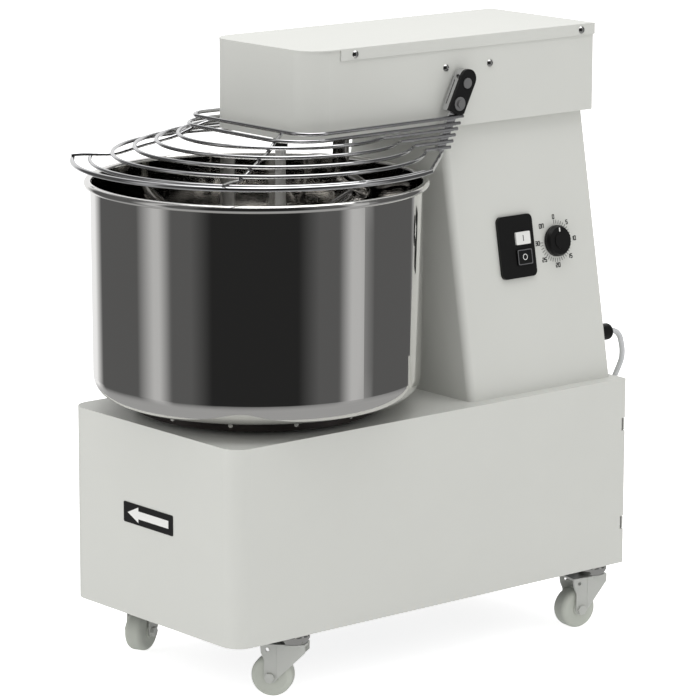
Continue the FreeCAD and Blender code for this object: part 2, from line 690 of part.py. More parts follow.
def bowl():
    """Spun steel bowl with a rolled bead round its rim."""
    outer = bowl_solid("0", "bowl_bottom", "bowl_bead_level")
    inner = bowl_solid("1.5", "bowl_bottom + bowl_wall", "bowl_bead_level + 10")
    bead = doc.addObject("Part::Torus", "bead")
    bind(bead, "Radius1", "bowl_radius - bowl_wall + bowl_bead")
    bind(bead, "Radius2", "bowl_bead")
    place(bead, 0, "bowl_y", "bowl_bead_level")
    keep(fuse(cut(outer, inner), bead), "bowl")


def bowl_drive():
    """Turntable, shaft and sprocket that turn the bowl."""
    low = "turntable_bottom"
    high = "bowl_bottom"
    dish = cut(cylinder("turntable_radius", 0, "bowl_y", (low, high)),
               cylinder("turntable_radius - 3", 0, "bowl_y", ("%s - 1" % low, "%s - 3" % high)))
    hub = cylinder(38, 0, "bowl_y", ("base_height + 2", high))
    bore = cylinder("heavy_shaft", 0, "bowl_y", (230, 270))
    keep(cut(fuse(dish, hub), bore), "bowl_turntable")
    keep(cylinder("heavy_shaft", 0, "bowl_y", ("chain_mid - 12", high)), "bowl_shaft")
    keep(sprocket("large_teeth", "bowl_y", "chain_mid", "heavy_shaft", 26, 10), "bowl_sprocket")


def smooth(t):
    """Ease from 0 to 1."""
    t = min(1.0, max(0.0, t))
    return t * t * (3 - 2 * t)


def rod_along(curve, radius, sections):
    """A round rod through circles set square to a curve, without twist."""
    first, last = curve.FirstParameter, curve.LastParameter
    across = None
    rings = []
    for i in range(sections + 1):
        at = first + (last - first) * i / sections
        ahead = curve.tangent(at)[0]
        across = across or ahead.cross(Vector(1, 0.2, 0.1))
        across = (across - ahead * across.dot(ahead)).normalize()
        ring = Part.makeCircle(radius)
        ring.Placement = Placement(curve.value(at), Rotation(across, ahead.cross(across), ahead, "ZXY"))
        rings.append(Part.Wire([ring]))
    return Part.makeLoft(rings, True, False)


def spiral_hook():
    """Kneading spiral: a rod that leaves its shaft and winds down near the bowl wall."""
    top, bottom = dim("helix_top"), dim("helix_bottom")
    reach, middle = dim("helix_radius"), dim("spiral_y")
    points = [Vector(0, middle, 555), Vector(0, middle, 540), Vector(0, middle, 526)]
    steps = 44
    for i in range(1, steps + 1):
        f = i / steps
        angle = math.radians(74 + 430 * max(0.0, f - 0.06))
        radius = reach * smooth(f / 0.16)
        z = top - (top - bottom) * f
        points.append(Vector(radius * math.cos(angle), middle + radius * math.sin(angle), z))
    curve = Part.BSplineCurve()
    curve.interpolate(points)
    rod = rod_along(curve, dim("rod_radius"), 60)
    tip = Part.makeSphere(dim("rod_radius"), points[-1])
    solid(rod.fuse(tip).removeSplitter(), "spiral_hook")


def spiral_drive():
    """Spiral shaft with its socket, and the large top sprocket."""
    shaft = fuse(cylinder("heavy_shaft", 0, "spiral_y", ("head_bottom - 14", "chain_top + 12")),
                 cylinder(17, 0, "spiral_y", ("head_bottom - 12", "head_bottom - 2")))
    keep(shaft, "spiral_shaft")
    keep(sprocket("top_large_teeth", "spiral_y", "chain_top", "heavy_shaft", 24, 8), "spiral_sprocket")


def breaker_bar():
    """Fixed bar that the dough is kneaded against, with its collar."""
    rod = cylinder("bar_radius", 0, "bar_y", ("bar_bottom", "head_bottom + 16"))
    end = doc.addObject("Part::Sphere", "bar_end")
    bind(end, "Radius", "bar_radius")
    place(end, 0, "bar_y", "bar_bottom")
    nut = cylinder(10, 0, "bar_y", ("head_bottom + sheet + head_plate_thick", "head_bottom + 20"))
    keep(fuse(rod, end, nut), "breaker_bar")
    collar = cut(cylinder(8.7, 0, "bar_y", ("head_bottom - 17", "head_bottom")),
                 cylinder("bar_radius", 0, "bar_y", ("head_bottom - 20", "head_bottom + 5")))
    keep(collar, "bar_collar")


# ---------------------------------------------------------------- guard

def arm_point(level):
    """The Y of the guard arm's middle line at a height."""
    return dim("pivot_y") - (dim("pivot_level") - level) * math.tan(math.radians(dim("arm_lean")))


def rounded_path(points, radii):
    """A path of straight lines with one round bend at each inner point."""
    edges = []
    here = points[0]
    for before, corner, after, radius in zip(points, points[1:], points[2:], radii):
        arrive = (corner - before).normalize()
        leave = (after - corner).normalize()
        turn = arrive.getAngle(leave)
        setback = radius * math.tan(turn / 2)
        start, finish = corner - arrive * setback, corner + leave * setback
        inward = (leave - arrive).normalize()
        middle = corner + inward * (radius / math.cos(turn / 2) - radius)
        edges += [Part.makeLine(here, start), Part.Arc(start, middle, finish).toShape()]
        here = finish
    edges.append(Part.makeLine(here, points[-1]))
    return Part.Wire(edges)


def guard_loops():
    """Centre lines of the six wire loops, from the right arm round the front to the left."""
    x = dim("wire_x")
    loops = []
    for front, spread, bend, level, end in ((-169, 6, 30, 584.5, 79), (-188, 7, 50, 576.5, 74)):
        loops.append(rounded_path([Vector(x, end, level), Vector(x + spread, front, level),
                                   Vector(-x - spread, front, level), Vector(-x, end, level)],
                                  (bend, bend)))
    for k in range(4):
        radius = 126 + 20 * k
        middle = -109 - 7.7 * k
        level = 570 - 7.1 * k
        end = 70 - 3.7 * k
        corner = middle + math.sqrt(radius ** 2 - x ** 2)
        right = Vector(x, corner, level)
        left = Vector(-x, corner, level)
        edges = [Part.makeLine(Vector(x, end, level), right),
                 Part.Arc(right, Vector(0, middle - radius, level), left).toShape(),
                 Part.makeLine(left, Vector(-x, end, level))]
        loops.append(Part.Wire(edges))
    return loops


def on_circle(middle, radius, degrees, level):
    angle = math.radians(degrees)
    return Vector(middle.x + radius * math.cos(angle), middle.y + radius * math.sin(angle), level)


def rim_wires():
    """The two outer wires: a frame wire to the right arm, and one close inside it."""
    frame_level, inner_level = 541.5, 543
    middle = Vector(0, -147, 0)
    start = on_circle(middle, 221.5, -131, frame_level)
    corner = on_circle(middle, 221.5, 26, frame_level)
    foot = Vector(dim("wire_x") - 2, arm_point(frame_level) + 4, frame_level)
    frame = Part.Wire([Part.Arc(start, on_circle(middle, 221.5, -50, frame_level), corner).toShape(),
                       Part.makeLine(corner, foot)])
    middle = Vector(8, -142, 0)
    first = on_circle(middle, 209.5, -132.5, inner_level)
    inner = Part.Wire([Part.Arc(first, on_circle(middle, 209.5, -50, inner_level),
                                on_circle(middle, 209.5, 22, inner_level)).toShape()])
    return frame, inner


def rib(side):
    """A rib, straight in plan, over the rim wires and under the loops."""
    far = Vector(side * 146, -316, 0)
    near = Vector(side * 68, -169, 0)
    levels = [(0.0, 545.0), (0.14, 545.4), (0.30, 544.8), (0.46, 551.6), (0.62, 558.6), (0.78, 565.8),
              (0.87, 572.3), (1.0, 580.4)]
    points = []
    for t, z in levels:
        p = far + (near - far) * t
        points.append(Vector(p.x, p.y, z))
    curve = Part.BSplineCurve()
    curve.interpolate(points)
    return Part.Wire([curve.toShape()])


def wire_solid(wire, radius):
    """A round wire along a wire path, with round bends at its corners."""
    start = wire.OrderedVertexes[0].Point
    edge = wire.OrderedEdges[0]
    direction = edge.tangentAt(edge.FirstParameter)
    circle = Part.Wire(Part.makeCircle(radius, start, direction))
    shell = Part.BRepOffsetAPI.MakePipeShell(wire)
    shell.setTransitionMode(2)
    shell.add(circle, False, False)
    shell.build()
    shell.makeSolid()
    return shell.shape()


def guard_frame():
    """The guard over the bowl: wires welded to each other and to two flat arm bars."""
    parts = [wire_solid(loop, dim("wire_radius")) for loop in guard_loops()]
    frame, inner = rim_wires()
    parts.append(wire_solid(frame, dim("frame_wire_radius")))
    parts.append(wire_solid(inner, dim("wire_radius")))
    parts += [wire_solid(rib(side), dim("wire_radius")) for side in (1, -1)]
    inner_x = dim("wire_x") - dim("wire_radius") - 4.4
    parts += both_sides(lambda: arm_bar(inner_x))
    welded = parts[0].fuse(parts[1:])
    solid(welded, "guard_frame")


def arm_shape(width, above, below, x_low, x_high):
    """An oblong bar on the arm's line; its top end is round about the pivot."""
    lean = math.radians(dim("arm_lean"))
    down = Vector(0, -math.sin(lean), -math.cos(lean))
    across = Vector(0, math.cos(lean), -math.sin(lean)) * (width / 2)
    pivot = Vector(x_low, dim("pivot_y"), dim("pivot_level"))
    top = pivot - down * above
    end = pivot + down * below
    cap = top - down * (width / 2)
    outline = Part.Wire([
        Part.makeLine(end + across, top + across),
        Part.Arc(top + across, cap, top - across).toShape(),
        Part.makeLine(top - across, end - across),
        Part.makeLine(end - across, end + across),
    ])
    return Part.Face(outline).extrude(Vector(x_high - x_low, 0, 0))


def arm_bar(inner_x):
    """Arm of the guard: a narrow bar under two wide hinge plates with a gap between them."""
    wide, above, below = 24.4, 5, 40
    bar = arm_shape(dim("arm_width"), 0, 89, inner_x, inner_x + 4.8)
    plates = level_end(arm_shape(wide, above, below, inner_x - 5, inner_x + 4.8))
    gap = arm_shape(wide + 2, -8, 26, inner_x - 1.4, inner_x - 0.2)
    gap.translate(Vector(0, -14, 0))
    start = Vector(inner_x - 10, dim("pivot_y"), dim("pivot_level"))
    pin_hole = Part.makeCylinder(dim("pivot_radius"), 20, start, Vector(1, 0, 0))
    return bar.fuse(plates).cut(gap).cut(pin_hole)


def level_end(shape):
    """Cut an arm shape off level, just above the first wire."""
    low = 584.5 + dim("wire_radius") + 0.4
    waste = Part.makeBox(400, 400, 100, Vector(-200, -100, low - 100))
    return shape.cut(waste)


def both_sides(make):
    """One solid on each side of the head."""
    right = make()
    left = right.mirror(Vector(0, 0, 0), Vector(1, 0, 0))
    return [right, left]


def guard_arms():
    """Covers and screws of the arms, and the pivot shaft through the head."""
    inner_x = dim("wire_x") - dim("wire_radius") - 4.4
    outer_x = inner_x + 4.8
    covers = []
    for shape in both_sides(lambda: level_end(arm_shape(24.4, 5, 40, outer_x, outer_x + 4))):
        covers.append(solid(shape))
    keep(group(*covers), "guard_arm_covers")
    middle = Vector(0, dim("pivot_y"), dim("pivot_level"))
    lean = math.radians(dim("arm_lean"))
    low = middle + Vector(0, -math.sin(lean), -math.cos(lean)) * 26.8
    screws = []
    for point, radius, tall in ((middle, 6.4, 1.2), (low, 8.4, 1.0), (low, 4.4, 3.2)):
        for side in (1, -1):
            base = Vector(side * (outer_x + 4), point.y, point.z)
            screws.append(Part.makeCylinder(radius, tall, base, Vector(side, 0, 0)))
    caps = [solid(screws[0]), solid(screws[1])]
    washers = [solid(screws[i].fuse(screws[i + 2])) for i in (2, 3)]
    keep(group(*caps, *washers), "guard_screws")
    half = inner_x + 4.4
    shaft = cylinder_x("pivot_radius", (-half, half), "pivot_y", "pivot_level")
    bosses = [side_boss(side, inner_x - 5) for side in (1, -1)]
    cam = cylinder_x(13, (70, 76), "pivot_y - 3", "pivot_level")
    keep(fuse(shaft, cam, *bosses), "guard_pivot_shaft")


def side_boss(side, inner_x):
    """Shoulder on the pivot shaft between the head's side and the arm."""
    low, high = dim("head_half") + 0.4, inner_x
    span = (low, high) if side > 0 else (-high, -low)
    return cylinder_x(10, span, "pivot_y", "pivot_level")


# ---------------------------------------------------------------- controls

def on_side(body, y, level, lift):
    body.Placement = side_placement(y, level, lift)
    return body


def switch_plate():
    plate = on_side(prism(rectangle("switch_width", "switch_tall"), 4, 7), "switch_y", "switch_level", 0)
    wells = [on_side(prism(rectangle("%s + 2*button_play" % w, "%s + 2*button_play" % t), 20),
                     "button_y", level, -8)
             for w, t, level in ((23.5, 15.6, "start_level"), (24, 19, "stop_level"))]
    keep(cut(plate, *wells), "switch_plate")


def buttons():
    keep(on_side(prism(rectangle(23.5, 15.6), 11.5, 1.5), "button_y", "start_level", -5.5), "start_button")
    keep(on_side(prism(rectangle(24, 19), 11.5, 1.5), "button_y", "stop_level", -5.5), "stop_button")


def local_cylinder(radius, height, y, level, lift):
    obj = doc.addObject("Part::Cylinder", "round")
    bind(obj, "Radius", radius)
    bind(obj, "Height", height)
    return on_side(obj, y, level, lift)


def timer_knob():
    """Round knob with a tapered face, and its spindle."""
    skirt = local_cylinder("knob_radius", 4.5, "knob_y", "knob_level", 1)
    face = doc.addObject("Part::Cone", "face")
    bind(face, "Radius1", "knob_radius")
    bind(face, "Radius2", "knob_radius - 2.4")
    bind(face, "Height", 4)
    on_side(face, "knob_y", "knob_level", 5.5)
    spindle = local_cylinder(3, 12, "knob_y", "knob_level", -9)
    keep(fuse(skirt, face, spindle), "timer_knob")


def control_modules():
    """Switch block, timer and guard microswitch inside the column and the head."""
    block = on_side(prism(rectangle(36, 56), 13, 2), "switch_y", "switch_level", -22)
    body = on_side(prism(rectangle(40, 44), 23, 3), "knob_y", "knob_level", -25.5)
    spindle_hole = local_cylinder("3 + running_gap", 12, "knob_y", "knob_level", -12)
    micro = box((62, 86), ("pivot_y + 14", "pivot_y + 34"), ("pivot_level - 16", "pivot_level + 12"))
    keep(group(block, cut(body, spindle_hole), micro), "control_modules")


def cable_parts():
    """Gland on the column's rear cover, mains cable and plug."""
    x, level, rear = dim("gland_x"), dim("gland_level"), dim("column_rear")
    ring = cylinder_y(12, "gland_x", ("column_rear", "column_rear + 5"), "gland_level")
    thread = cylinder_y(8, "gland_x", ("column_rear - 8", "column_rear + 5"), "gland_level")
    nut = cylinder_y(11, "gland_x", ("column_rear - sheet - 5", "column_rear - sheet"), "gland_level")
    dome = cylinder_y(10.5, "gland_x", ("column_rear + 4", "column_rear + 21"), "gland_level")
    dome = round_edges(dome, 5, lambda edge: edge.CenterOfMass.y > dim("column_rear") + 20
                       and edge.Curve.TypeId == "Part::GeomCircle")
    hole = cylinder_y(3.6, "gland_x", ("column_rear - 20", "column_rear + 30"), "gland_level")
    keep(cut(fuse(ring, thread, nut, dome), hole), "cable_gland")
    end = Vector(x - 27, rear + 31, level - 165)
    path = [Vector(x, rear - 18, level), Vector(x, rear + 38, level), Vector(x + 7, rear + 40, level - 32),
            end + Vector(0, 0, 50), end]
    solid(wire_solid(rounded_path(path, (14, 40, 60)), 3.5), "mains_cable")
    sleeve = Part.makeCone(16, 6, 26, end - Vector(0, 0, 26))
    face = Part.makeCylinder(18, 14, end - Vector(0, 0, 40))
    pins = [Part.makeCylinder(2.4, 20, end + Vector(dx, 0, -59)) for dx in (-9.5, 9.5)]
    solid(sleeve.fuse([face] + pins), "mains_plug")


def direction_label():
    """Label plate on the cabinet's front."""
    plate = prism(rectangle(96, 25), 0.6, 2)
    place(plate, -5, "-base_depth/2", 126.7, Rotation(Vector(1, 0, 0), 90))
    keep(plate, "direction_label")


# ---------------------------------------------------------------- casters

CASTERS = {
    "front_right": (1, "caster_front", -143.1),
    "rear_right": (1, "caster_rear", -99.2),
    "front_left": (-1, "caster_front", -65.2),
    "rear_left": (-1, "caster_rear", -118.0),
}


def swivel_heads():
    """Fixed upper races with their kingpins and nuts, one for each caster."""
    heads = []
    for side, y, _ in CASTERS.values():
        x = "%d*caster_x" % side
        cup = fuse(cylinder(16, x, y, (-12, -9)), cone(17.5, 19.4, x, y, (-9.5, -6)),
                   cylinder(19.4, x, y, (-6, -3)), cone(19.4, 18, x, y, (-3, 0)),
                   cylinder(5, x, y, (-16, 16)), cylinder(8, x, y, (-17.6, -14.7)),
                   cylinder(8.5, x, y, (3, 10)))
        heads.append(cup)
    keep(group(*heads), "caster_swivel_heads")


LEG_OUTLINE = [(14, -12.1), (37, -12.1), (36, -23), (32, -32), (32.5, -53), (30, -58.5), (25, -60.5),
               (19.5, -58.5), (14, -52)]
FLANGE_OUTLINE = [(2.5, -12.1), (2.5, -52), (0, -52), (-31, -22), (-31, -12.1)]
ROOF_OUTLINE = [(36.5, 15.4), (14, 15.4), (-16, 10.2), (-16, -10.2), (14, -15.4), (36.5, -15.4)]
LEG_THICK = 2.5
FLANGE_ANGLE = 10


def caster(name, side, y, yaw):
    """One caster: a bent-plate fork with its axle bolt, and a nylon wheel."""
    spot = Placement(Vector(side * dim("caster_x"), dim(y), 0), Rotation(Z_AXIS, yaw))
    hub = dim("wheel_width") / 2 + 1.6
    trail, axle_z = dim("trail"), dim("floor_level") + dim("wheel_radius")
    upright_turn = Rotation(Vector(1, 0, 0), 90)
    plates = []
    for way in (1, -1):
        base_y = hub + 0.4 + LEG_THICK if way > 0 else -hub - 0.4
        leg = outline_plate(LEG_OUTLINE, LEG_THICK)
        leg.Placement = spot * Placement(Vector(0, base_y, 0), upright_turn)
        flange = outline_plate(FLANGE_OUTLINE, LEG_THICK)
        bend = Placement(Vector(14, base_y, 0), Rotation(Z_AXIS, way * FLANGE_ANGLE))
        flange.Placement = spot * bend * Placement(Vector(0, 0, 0), upright_turn)
        plates += [leg, flange]
    roof = outline_plate(ROOF_OUTLINE, LEG_THICK)
    roof.Placement = spot * Placement(Vector(0, 0, -14.6), Rotation())
    race = local_round(17, LEG_THICK, spot, Vector(0, 0, -14.6), Rotation())
    bore = local_round("5 + running_gap", 10, spot, Vector(0, 0, -18), Rotation())
    axle_start = Vector(trail, hub + 2.9, axle_z)
    axle_hole = local_round("axle_radius", 60, spot, Vector(trail, 30, axle_z), upright_turn)
    eye = local_round(2.4, 60, spot, Vector(28, 30, -19), upright_turn)
    fork = cut(fuse(*plates, roof, race), bore, axle_hole, eye)
    shank = local_round("axle_radius", 2 * hub + 5.8, spot, axle_start, upright_turn)
    heads = [hexagon(6.2, 3.5, spot, Vector(trail, y0, axle_z), upright_turn)
             for y0 in (hub + 2.9 + 3.5, -hub - 2.9)]
    keep(group(fork, fuse(shank, *heads)), "caster_fork_" + name)
    tyre = local_round("wheel_radius", "wheel_width", spot,
                       Vector(trail, dim("wheel_width") / 2, axle_z), upright_turn)
    tyre = round_edges(tyre, 6.5, lambda edge: edge.Curve.TypeId == "Part::GeomCircle")
    boss = local_round(9, 2 * hub, spot, Vector(trail, hub, axle_z), upright_turn)
    wheel_bore = local_round("axle_radius + running_gap", 60, spot, Vector(trail, 30, axle_z), upright_turn)
    keep(cut(fuse(tyre, boss), wheel_bore), "caster_wheel_" + name)


def outline_plate(outline, thickness):
    """A flat plate from a list of corners."""
    return prism([(str(px), str(py)) for px, py in outline], thickness)


def hexagon(radius, height, spot, base, rotation):
    """A hexagonal bolt head or nut in a caster's own frame."""
    obj = doc.addObject("Part::Prism", "hexagon")
    obj.Polygon = 6
    bind(obj, "Circumradius", radius)
    bind(obj, "Height", height)
    obj.Placement = spot * Placement(base, rotation)
    return obj


def local_round(radius, height, spot, base, rotation):
    """A cylinder placed in a caster's own frame."""
    obj = doc.addObject("Part::Cylinder", "round")
    bind(obj, "Radius", radius)
    bind(obj, "Height", height)
    obj.Placement = spot * Placement(base, rotation)
    return obj


# ---------------------------------------------------------------- build

def build():
    for make in (base_casing, base_frame, floor_plate, drive_deck, base_rear_panel, column_casing,
                 column_rear_cover, column_channel, motor_plate, head_casing, head_lid, head_plate,
                 casing_screws, housings_and_bearings, drive_chains, v_belt, layshaft_group, idler_group,
                 motor, bowl, bowl_drive, spiral_hook, spiral_drive, breaker_bar, guard_frame, guard_arms,
                 switch_plate, buttons, timer_knob, control_modules, cable_parts, direction_label,
                 swivel_heads):
        make()
    for name, (side, y, yaw) in CASTERS.items():
        caster(name, side, y, yaw)


def check():
    """Stop on any failed object or bad shape before anything is written."""
    failed = [o.Label for o in doc.Objects if set(o.State) & {"Invalid", "Error"}]
    bad = [o.Label for o in nodes if o.Shape.isNull() or not o.Shape.isValid() or not o.Shape.Solids]
    if failed or bad:
        raise RuntimeError("failed: %s  bad shapes: %s" % (failed, bad))


def write():
    os.makedirs("parts", exist_ok=True)
    for node in nodes:
        node.Shape.exportStep(os.path.join("parts", node.Label + ".step"))


build()
doc.recompute()
check()
write()
print("%d nodes written" % len(nodes))
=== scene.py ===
import json
import math

import bmesh
import bpy
from mathutils import Matrix, Quaternion, Vector


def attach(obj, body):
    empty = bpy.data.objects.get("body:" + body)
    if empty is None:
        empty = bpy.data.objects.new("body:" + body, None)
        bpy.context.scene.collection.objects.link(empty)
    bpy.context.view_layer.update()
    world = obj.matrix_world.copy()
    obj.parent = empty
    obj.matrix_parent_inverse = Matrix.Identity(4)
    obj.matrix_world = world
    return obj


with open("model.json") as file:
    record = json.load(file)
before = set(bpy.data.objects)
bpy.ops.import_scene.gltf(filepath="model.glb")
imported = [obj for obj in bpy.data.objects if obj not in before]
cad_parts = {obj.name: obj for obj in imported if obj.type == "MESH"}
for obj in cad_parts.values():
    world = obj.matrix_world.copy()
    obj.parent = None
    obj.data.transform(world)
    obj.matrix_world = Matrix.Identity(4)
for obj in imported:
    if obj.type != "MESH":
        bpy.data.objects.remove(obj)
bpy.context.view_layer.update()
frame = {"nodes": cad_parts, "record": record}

# Row frame: X is the operator's right, Y points to the rear, Z is up. All lengths are in metres
# and all angles in degrees, except the camera's lens and sensor, which are in millimetres.
FLOOR = -0.078
BASE_FRONT = -0.312
COLUMN_FOOT = 0.142
COLUMN_TOP = 0.083
BASE_TOP = 0.238
HEAD_BOTTOM = 0.570
LEAN = math.atan((COLUMN_FOOT - COLUMN_TOP) / (HEAD_BOTTOM - BASE_TOP))
CAMERA_AZIMUTH = 49.774
CAMERA_ELEVATION = 11.984
CAMERA_ROLL = 0.183
CAMERA_PLACE = (3.4653, -2.9354, 1.2534)
CAMERA_LENS = 194.6
CAMERA_SENSOR = 36

WHITE = (1.0, 1.0, 1.0)
PAINT = (0.60, 0.605, 0.575)


# ---------------------------------------------------------------- materials

def new_material(name):
    """A material with one principled surface, its node tree and the surface's node."""
    material = bpy.data.materials.new(name)
    material.use_nodes = True
    tree = material.node_tree
    tree.nodes.clear()
    output = tree.nodes.new("ShaderNodeOutputMaterial")
    shader = tree.nodes.new("ShaderNodeBsdfPrincipled")
    tree.links.new(shader.outputs["BSDF"], output.inputs["Surface"])
    return material, tree, shader


def add_noise(tree, scale, detail, stretch=(1, 1, 1)):
    """Noise in object coordinates, scaled along each axis."""
    place = tree.nodes.new("ShaderNodeTexCoord")
    mapping = tree.nodes.new("ShaderNodeMapping")
    noise = tree.nodes.new("ShaderNodeTexNoise")
    mapping.inputs["Scale"].default_value = stretch
    noise.inputs["Scale"].default_value = scale
    noise.inputs["Detail"].default_value = detail
    tree.links.new(place.outputs["Object"], mapping.inputs["Vector"])
    tree.links.new(mapping.outputs["Vector"], noise.inputs["Vector"])
    return noise


def add_bump(tree, shader, scale, strength, distance, stretch=(1, 1, 1)):
    """Fine surface relief."""
    noise = add_noise(tree, scale, 3, stretch)
    bump = tree.nodes.new("ShaderNodeBump")
    bump.inputs["Strength"].default_value = strength
    bump.inputs["Distance"].default_value = distance
    tree.links.new(noise.outputs["Fac"], bump.inputs["Height"])
    tree.links.new(bump.outputs["Normal"], shader.inputs["Normal"])


GLOSS_SPREAD = 0.15


def add_clouds(tree, shader, colour, roughness, change, scale=14):
    """Soft patches of slightly different tone and gloss."""
    clouds = add_noise(tree, scale, 4)
    tone = tree.nodes.new("ShaderNodeMix")
    tone.data_type = "RGBA"
    tone.inputs["A"].default_value = (*[c * (1 - change) for c in colour], 1)
    tone.inputs["B"].default_value = (*[min(1.0, c * (1 + change)) for c in colour], 1)
    gloss = tree.nodes.new("ShaderNodeMapRange")
    gloss.inputs["To Min"].default_value = roughness * (1 - GLOSS_SPREAD)
    gloss.inputs["To Max"].default_value = roughness * (1 + GLOSS_SPREAD)
    tree.links.new(clouds.outputs["Fac"], tone.inputs["Factor"])
    tree.links.new(clouds.outputs["Fac"], gloss.inputs["Value"])
    tree.links.new(tone.outputs["Result"], shader.inputs["Base Color"])
    tree.links.new(gloss.outputs["Result"], shader.inputs["Roughness"])


GRAIN_DEPTH = 0.0003


def finish(name, colour, roughness, metallic=0.0, change=0.10, grain=500, relief=0.05,
           specular=0.4):
    """A surface with slight patches of tone and gloss and a fine grain."""
    material, tree, shader = new_material(name)
    shader.inputs["Metallic"].default_value = metallic
    shader.inputs["Specular IOR Level"].default_value = specular
    add_clouds(tree, shader, colour, roughness, change)
    add_bump(tree, shader, grain, relief, GRAIN_DEPTH)
    return material


def mirror_steel():
    """Spun and polished stainless steel, faintly brushed round the bowl."""
    material, tree, shader = new_material("mirror_steel")
    shader.inputs["Metallic"].default_value = 1
    add_clouds(tree, shader, (0.86, 0.85, 0.83), roughness=0.045, change=0.02, scale=6)
    add_bump(tree, shader, scale=60, strength=0.008, distance=0.0004, stretch=(1, 1, 8))
    return material


# Each slot's name, colour, roughness and, where it has one, metallic share.
MATERIALS = {
    "painted_white": finish("paint", PAINT, 0.42, change=0.015, grain=900, relief=0.04,
                            specular=0.35),
    "structural_steel": finish("primer", (0.05, 0.055, 0.06), 0.55),
    "zinc_plate": finish("zinc", (0.62, 0.63, 0.60), 0.40, 0.35, change=0.12, grain=300),
    "polished_steel": mirror_steel(),
    "chromed_wire": finish("chrome", (0.62, 0.62, 0.63), 0.07, 1.0, change=0.03, relief=0.01),
    "tool_steel": finish("tool_steel", (0.60, 0.59, 0.57), 0.12, 1.0, change=0.04, relief=0.02),
    "machine_steel": finish("machine_steel", (0.42, 0.42, 0.42), 0.35, 1.0, grain=400),
    "cast_housing": finish("cast", (0.07, 0.07, 0.075), 0.5, relief=0.2, grain=250),
    "motor_paint": finish("motor_enamel", (0.10, 0.12, 0.14), 0.4),
    "black_plastic": finish("black_plastic", (0.008, 0.008, 0.008), 0.38, relief=0.08,
                            specular=0.25),
    "grey_plastic": finish("switch_black", (0.007, 0.007, 0.007), 0.34, relief=0.06,
                           specular=0.25),
    "white_plastic": finish("button_white", (0.72, 0.72, 0.70), 0.30, change=0.02, relief=0.02),
    "nylon_white": finish("nylon", (0.50, 0.52, 0.47), 0.40, change=0.06, grain=250, relief=0.06),
    "cable_grey": finish("cable_sheath", (0.56, 0.57, 0.58), 0.5, change=0.05),
    "belt_rubber": finish("belt", (0.015, 0.015, 0.015), 0.7, relief=0.15),
    "label_film": finish("label_black", (0.010, 0.010, 0.010), 0.35, relief=0.02, specular=0.3),
}
INK_DARK = finish("ink_dark", (0.02, 0.02, 0.02), 0.5, specular=0.2)
INK_WHITE = finish("ink_white", (0.75, 0.75, 0.73), 0.5, change=0.02)
FRAME_GREY = finish("button_frame", (0.12, 0.12, 0.125), 0.4)
RIVET = finish("rivet", (0.80, 0.79, 0.75), 0.2, 0.8)

# Nodes whose look differs from the rest of their slot.
LOOKS = {
    "bowl_turntable": finish("turntable_dark", (0.035, 0.03, 0.028), 0.32, 0.6),
    "guard_screws": finish("cap_grey", (0.33, 0.33, 0.33), 0.30, 0.8),
    "bar_collar": MATERIALS["black_plastic"],
    "breaker_bar": finish("bar_steel", (0.82, 0.82, 0.80), 0.18, 0.6, change=0.03, relief=0.02),
    # The spiral hook's steel is painted darker than the tool steel: painted shade that stands in
    # for the dark bowl interior it reflects.
    "spiral_hook": finish("spiral_steel_painted_shade", (0.34, 0.33, 0.32), 0.12, 1.0, change=0.05, relief=0.02),
    "caster_swivel_heads": finish("race_chrome", (0.66, 0.66, 0.64), 0.14, 1.0, change=0.05,
                                  relief=0.01),
    "casing_screws": finish("screw_chrome", (0.62, 0.62, 0.61), 0.14, 1.0, change=0.05,
                            relief=0.01),
    "mains_plug": finish("plug_grey", (0.30, 0.31, 0.31), 0.5),
}


def dress_cad():
    """Give every CAD node its material."""
    slots = {entry["node"]: entry["material_slot"] for entry in frame["record"]["subparts"]}
    for node, slot in slots.items():
        obj = frame["nodes"][node]
        obj.data.materials.clear()
        obj.data.materials.append(LOOKS.get(node, MATERIALS[slot]))


# ---------------------------------------------------------------- mesh helpers

def mesh_object(name, build, material, body):
    """A new piece from a bmesh builder, riding on a CAD body."""
    mesh = bpy.data.meshes.new(name)
    bm = bmesh.new()
    build(bm)
    bm.to_mesh(mesh)
    bm.free()
    obj = bpy.data.objects.new(name, mesh)
    bpy.context.collection.objects.link(obj)
    mesh.materials.append(material)
    if body:
        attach(obj, body)
    return obj


def add_prism(bm, outline, low, high, matrix=Matrix.Identity(4)):
    """A flat outline in local XY raised from low to high."""
    bottom = [bm.verts.new(matrix @ Vector((x, y, low))) for x, y in outline]
    top = [bm.verts.new(matrix @ Vector((x, y, high))) for x, y in outline]
    bm.faces.new(bottom[::-1])
    bm.faces.new(top)
    count = len(outline)
    for i in range(count):
        j = (i + 1) % count
        bm.faces.new((bottom[i], bottom[j], top[j], top[i]))


def circle(radius, count):
    """A round outline of count points."""
    return [(radius * math.cos(2 * math.pi * i / count), radius * math.sin(2 * math.pi * i / count))
            for i in range(count)]


def add_band(bm, outer, inner, height, matrix):
    """The raised band between two outlines with the same number of points."""
    count = len(outer)
    rings = []
    for outline, level in ((outer, 0), (outer, height), (inner, height), (inner, 0)):
        rings.append([bm.verts.new(matrix @ Vector((x, y, level))) for x, y in outline])
    for k in range(4):
        this, following = rings[k], rings[(k + 1) % 4]
        for i in range(count):
            j = (i + 1) % count
            bm.faces.new((this[i], this[j], following[j], following[i]))


def rounded(width, height, radius, centre=(0, 0), steps=6):
    """A rectangle outline with round corners."""
    points = []
    for quarter, (sx, sy) in enumerate(((1, 1), (-1, 1), (-1, -1), (1, -1))):
        cx = centre[0] + sx * (width / 2 - radius)
        cy = centre[1] + sy * (height / 2 - radius)
        for i in range(steps + 1):
            angle = math.pi / 2 * (quarter + i / steps)
            points.append((cx + radius * math.cos(angle), cy + radius * math.sin(angle)))
    return points


